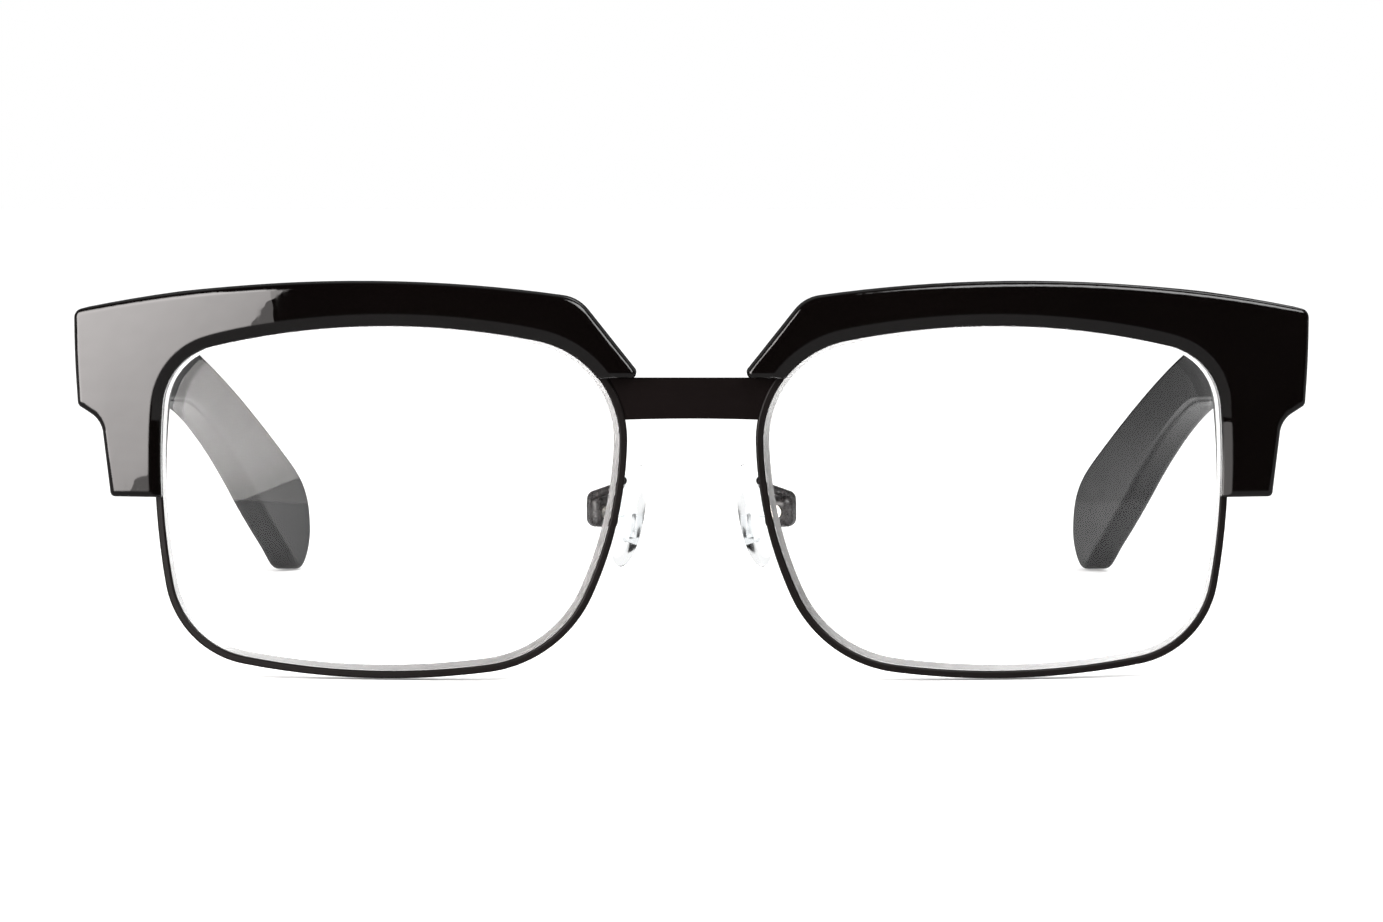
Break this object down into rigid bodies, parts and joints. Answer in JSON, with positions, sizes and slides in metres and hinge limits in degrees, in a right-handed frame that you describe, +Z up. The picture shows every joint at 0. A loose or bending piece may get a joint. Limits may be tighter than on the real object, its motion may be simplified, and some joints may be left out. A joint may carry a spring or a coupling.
{
  "type": "browline eyeglasses",
  "caption": "Browline eyeglasses: thick acetate brows over full thin metal rims, clear lenses, folding temples with drooping tips, rocking clear nose pads.",
  "frame": {"origin": "middle of the bounding box's footprint, on the surface that the rims and temple tips stand on", "axes": "+X to the wearer's left, -Y the way the wearer looks, +Z up"},
  "size_m": [0.1446, 0.1413, 0.0464],
  "materials": {
    "brow_acetate": "hand-polished black acetate",
    "temple_acetate": "tumbled black acetate, softly polished",
    "rim_metal": "satin black plated metal",
    "hinge_metal": "nickel silver, satin",
    "screw_steel": "bright steel",
    "core_wire": "nickel silver wire",
    "lens": "clear, polished, with a frosted bevelled edge",
    "pad_silicone": "clear silicone",
    "pad_insert": "clear hard plastic insert"
  },
  "bodies": {
    "front": {"bridge": "rim_metal", "right_rim": "rim_metal", "left_rim": "rim_metal", "right_lens": "lens", "left_lens": "lens", "right_brow": "brow_acetate", "left_brow": "brow_acetate", "right_endpiece": "rim_metal", "left_endpiece": "rim_metal", "right_front_hinge": "hinge_metal", "left_front_hinge": "hinge_metal", "right_hinge_screw": "screw_steel", "left_hinge_screw": "screw_steel", "right_rim_lock_screw": "screw_steel", "left_rim_lock_screw": "screw_steel", "right_brow_screws": "screw_steel", "left_brow_screws": "screw_steel", "right_pad_arm": "rim_metal", "left_pad_arm": "rim_metal", "right_pad_box": "rim_metal", "left_pad_box": "rim_metal", "right_pad_screw": "screw_steel", "left_pad_screw": "screw_steel"},
    "right_temple": {"right_temple": "temple_acetate", "right_temple_core": "core_wire", "right_temple_hinge": "hinge_metal"},
    "left_temple": {"left_temple": "temple_acetate", "left_temple_core": "core_wire", "left_temple_hinge": "hinge_metal"},
    "right_pad": {"right_nose_pad": "pad_silicone", "right_pad_insert": "pad_insert"},
    "left_pad": {"left_nose_pad": "pad_silicone", "left_pad_insert": "pad_insert"}
  },
  "joints": [
    {"name": "right_temple_fold", "type": "hinge", "parent": "front", "child": "right_temple", "pos_m": [-0.065, -0.0538, 0.0372], "axis": [0, 0, -1], "range_deg": [0, 88]},
    {"name": "left_temple_fold", "type": "hinge", "parent": "front", "child": "left_temple", "pos_m": [0.065, -0.0538, 0.0372], "axis": [0, 0, 1], "range_deg": [0, 79]},
    {"name": "right_pad_rock", "type": "hinge", "parent": "front", "child": "right_pad", "pos_m": [-0.0104, -0.0585, 0.019], "axis": [-0.342, 0.9397, 0], "range_deg": [-10, 10]},
    {"name": "left_pad_rock", "type": "hinge", "parent": "front", "child": "left_pad", "pos_m": [0.0104, -0.0585, 0.019], "axis": [0.342, 0.9397, 0], "range_deg": [-10, 10]}
  ]
}
